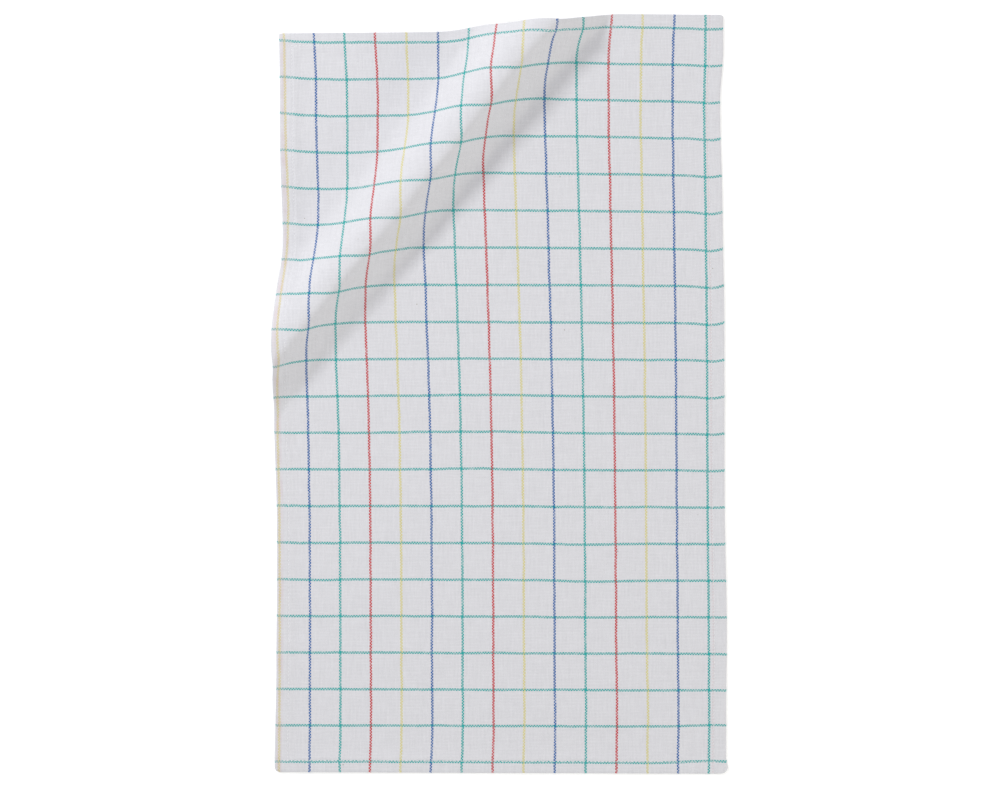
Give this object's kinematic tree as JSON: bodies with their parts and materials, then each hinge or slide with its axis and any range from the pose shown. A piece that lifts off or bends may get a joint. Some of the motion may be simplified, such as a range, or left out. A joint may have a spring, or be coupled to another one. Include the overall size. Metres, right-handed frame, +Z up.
{
  "type": "tea towel",
  "caption": "Rectangular woven cotton tea towel with a coloured check and stitched hems, lying flat with one soft diagonal fold raised across a corner.",
  "frame": {"origin": "middle of the towel's bounding box at its underside, on the surface that it lies on", "axes": "+Y along the towel's length towards the end with the fold, +X across its width, +Z up"},
  "size_m": [0.4548, 0.7604, 0.0405],
  "materials": {
    "cotton": "matte plain-woven cotton, off-white with thin coloured check lines"
  },
  "bodies": {
    "root": {"cloth": "cotton"}
  },
  "joints": []
}
